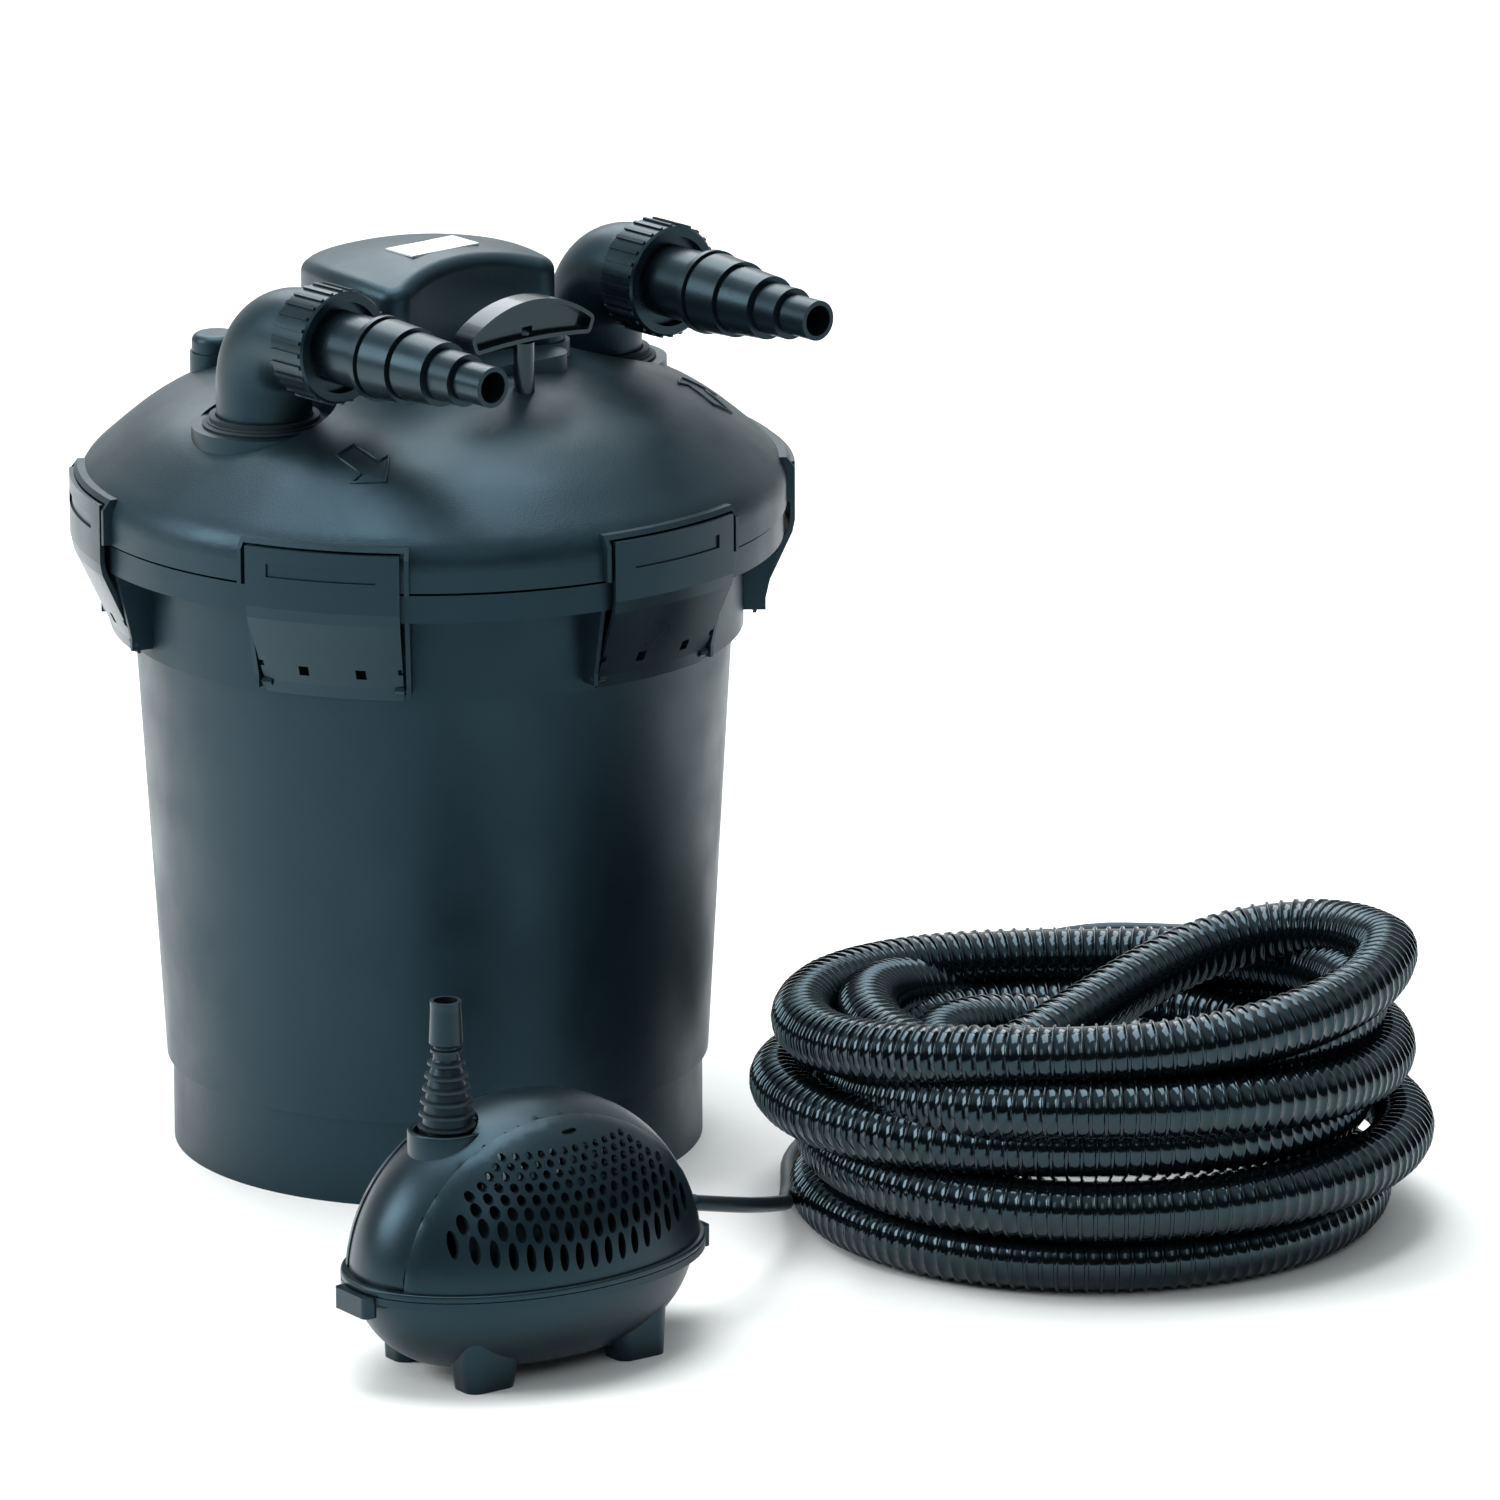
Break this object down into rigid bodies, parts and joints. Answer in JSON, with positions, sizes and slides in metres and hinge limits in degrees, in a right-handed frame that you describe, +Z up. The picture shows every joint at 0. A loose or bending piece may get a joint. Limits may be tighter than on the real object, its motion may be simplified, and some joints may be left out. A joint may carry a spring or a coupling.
{
  "type": "pressure pond filter set with pump",
  "caption": "Domed pressure pond filter with clip-on lid, stepped hose unions and pull handle, with an egg-shaped strainer pump on a cable and a coil of spiral hose.",
  "frame": {"origin": "centre of the pad under the tank's foot, on the ground", "axes": "+Z up along the tank's axis; -Y is the side that the hose tails and the cleaning handle face"},
  "size_m": [0.7004, 0.6512, 0.448],
  "materials": {
    "housing_plastic": "fine moulded texture, satin",
    "clip_plastic": "satin moulded plastic",
    "fitting_plastic": "semi-gloss turned look",
    "pump_plastic": "fine satin moulded plastic",
    "seal_rubber": "matt black rubber",
    "soft_black": "satin soft plastic",
    "label_plate": "satin printed plate, blank",
    "steel": "bright steel",
    "quartz": "clear quartz",
    "lamp_glass": "clear lamp glass",
    "foam_blue": "open-cell filter foam",
    "foam_red": "open-cell filter foam",
    "foam_violet": "open-cell filter foam",
    "inner_plastic": "plain moulded plastic",
    "hose_plastic": "glossy black spiral hose",
    "cable_rubber": "matt black rubber cable",
    "plug_plastic": "satin black plug",
    "brass_pin": "nickel-plated brass",
    "ceramic": "white ceramic",
    "motor_resin": "cast resin"
  },
  "bodies": {
    "tank": {"tank": "housing_plastic", "lid_seal": "seal_rubber", "clip_pins": "clip_plastic", "pump_tray": "pump_plastic", "pump_motor": "motor_resin", "pump_volute": "inner_plastic", "pump_shaft": "ceramic", "pump_tail": "soft_black", "pump_gland": "soft_black", "hose_coil": "hose_plastic", "pump_cable": "cable_rubber", "cable_coil": "cable_rubber", "mains_plug": "plug_plastic", "plug_pins": "brass_pin"},
    "lid": {"tank_lid": "housing_plastic", "head_housing": "housing_plastic", "head_label": "label_plate", "head_screws": "steel", "head_gland": "fitting_plastic", "ballast": "motor_resin", "lamp_socket": "inner_plastic", "uvc_lamp": "lamp_glass", "quartz_sleeve": "quartz", "sleeve_nut": "inner_plastic", "rod_seal": "seal_rubber", "foam_cage": "inner_plastic", "foam_1": "foam_blue", "foam_2": "foam_red", "foam_3": "foam_violet", "foam_4": "foam_blue", "inlet_pipe": "inner_plastic", "outlet_swivel_ring": "seal_rubber", "inlet_swivel_ring": "seal_rubber"},
    "handle": {"handle_grip": "clip_plastic", "handle_rod": "clip_plastic", "press_plate": "inner_plastic"},
    "rinse_plug": {"rinse_cap": "clip_plastic"},
    "outlet_union": {"outlet_elbow": "housing_plastic", "outlet_elbow_seal": "seal_rubber", "outlet_gasket": "seal_rubber", "outlet_tail": "fitting_plastic"},
    "inlet_union": {"inlet_elbow": "housing_plastic", "inlet_elbow_seal": "seal_rubber", "inlet_gasket": "seal_rubber", "inlet_tail": "fitting_plastic"},
    "outlet_union_nut": {"outlet_nut": "fitting_plastic"},
    "inlet_union_nut": {"inlet_nut": "fitting_plastic"},
    "pump_cover": {"pump_cage": "pump_plastic"},
    "rotor": {"pump_rotor": "inner_plastic"},
    "pump_outlet_nut": {"pump_nut": "fitting_plastic"},
    "clip_1": {"clip_1": "clip_plastic"},
    "clip_2": {"clip_2": "clip_plastic"},
    "clip_3": {"clip_3": "clip_plastic"},
    "clip_4": {"clip_4": "clip_plastic"},
    "clip_5": {"clip_5": "clip_plastic"},
    "clip_6": {"clip_6": "clip_plastic"}
  },
  "joints": [
    {"name": "lid_lift", "type": "slide", "parent": "tank", "child": "lid", "axis": [0, 0, 1], "range_m": [0, 0.335]},
    {"name": "handle_pull", "type": "slide", "parent": "lid", "child": "handle", "axis": [0, 0, 1], "range_m": [0, 0.06], "deforming": ["foam_1", "foam_2", "foam_3", "foam_4"]},
    {"name": "rinse_plug_turn", "type": "hinge", "parent": "lid", "child": "rinse_plug", "pos_m": [-0.05, 0.104, 0.38], "axis": [0, 0, 1], "continuous": true},
    {"name": "outlet_swivel", "type": "hinge", "parent": "lid", "child": "outlet_union", "pos_m": [-0.102, 0, 0.42], "axis": [0, 0, 1], "range_deg": [-97, 11]},
    {"name": "outlet_nut_turn", "type": "hinge", "parent": "outlet_union", "child": "outlet_union_nut", "pos_m": [-0.09993, -0.04745, 0.42], "axis": [0.0436, -0.999, 0], "continuous": true},
    {"name": "inlet_swivel", "type": "hinge", "parent": "lid", "child": "inlet_union", "pos_m": [0.102, 0, 0.42], "axis": [0, 0, 1], "range_deg": [-12, 102]},
    {"name": "inlet_nut_turn", "type": "hinge", "parent": "inlet_union", "child": "inlet_union_nut", "pos_m": [0.10266, -0.0475, 0.42], "axis": [0.014, -0.9999, 0], "continuous": true},
    {"name": "clip_1_open", "type": "hinge", "parent": "tank", "child": "clip_1", "pos_m": [0.00939, -0.15351, 0.265], "axis": [0.9981, 0.061, 0], "range_deg": [0, 45]},
    {"name": "clip_2_open", "type": "hinge", "parent": "tank", "child": "clip_2", "pos_m": [0.13764, -0.06863, 0.265], "axis": [0.4462, 0.8949, 0], "range_deg": [0, 45]},
    {"name": "clip_3_open", "type": "hinge", "parent": "tank", "child": "clip_3", "pos_m": [0.12825, 0.08489, 0.265], "axis": [-0.5519, 0.8339, 0], "range_deg": [0, 45]},
    {"name": "clip_4_open", "type": "hinge", "parent": "tank", "child": "clip_4", "pos_m": [-0.00939, 0.15351, 0.265], "axis": [-0.9981, -0.061, 0], "range_deg": [0, 45]},
    {"name": "clip_5_open", "type": "hinge", "parent": "tank", "child": "clip_5", "pos_m": [-0.13764, 0.06863, 0.265], "axis": [-0.4462, -0.8949, 0], "range_deg": [0, 45]},
    {"name": "clip_6_open", "type": "hinge", "parent": "tank", "child": "clip_6", "pos_m": [-0.12825, -0.08489, 0.265], "axis": [0.5519, -0.8339, 0], "range_deg": [0, 45]},
    {"name": "pump_cover_lift", "type": "slide", "parent": "tank", "child": "pump_cover", "axis": [0, 0, 1], "range_m": [0, 0.19]},
    {"name": "rotor_spin", "type": "hinge", "parent": "tank", "child": "rotor", "pos_m": [-0.1909, -0.301, 0.062], "axis": [0.9962, -0.0872, 0], "continuous": true},
    {"name": "pump_nut_turn", "type": "hinge", "parent": "tank", "child": "pump_outlet_nut", "pos_m": [-0.23274, -0.29734, 0.109], "axis": [0, 0, 1], "continuous": true}
  ]
}
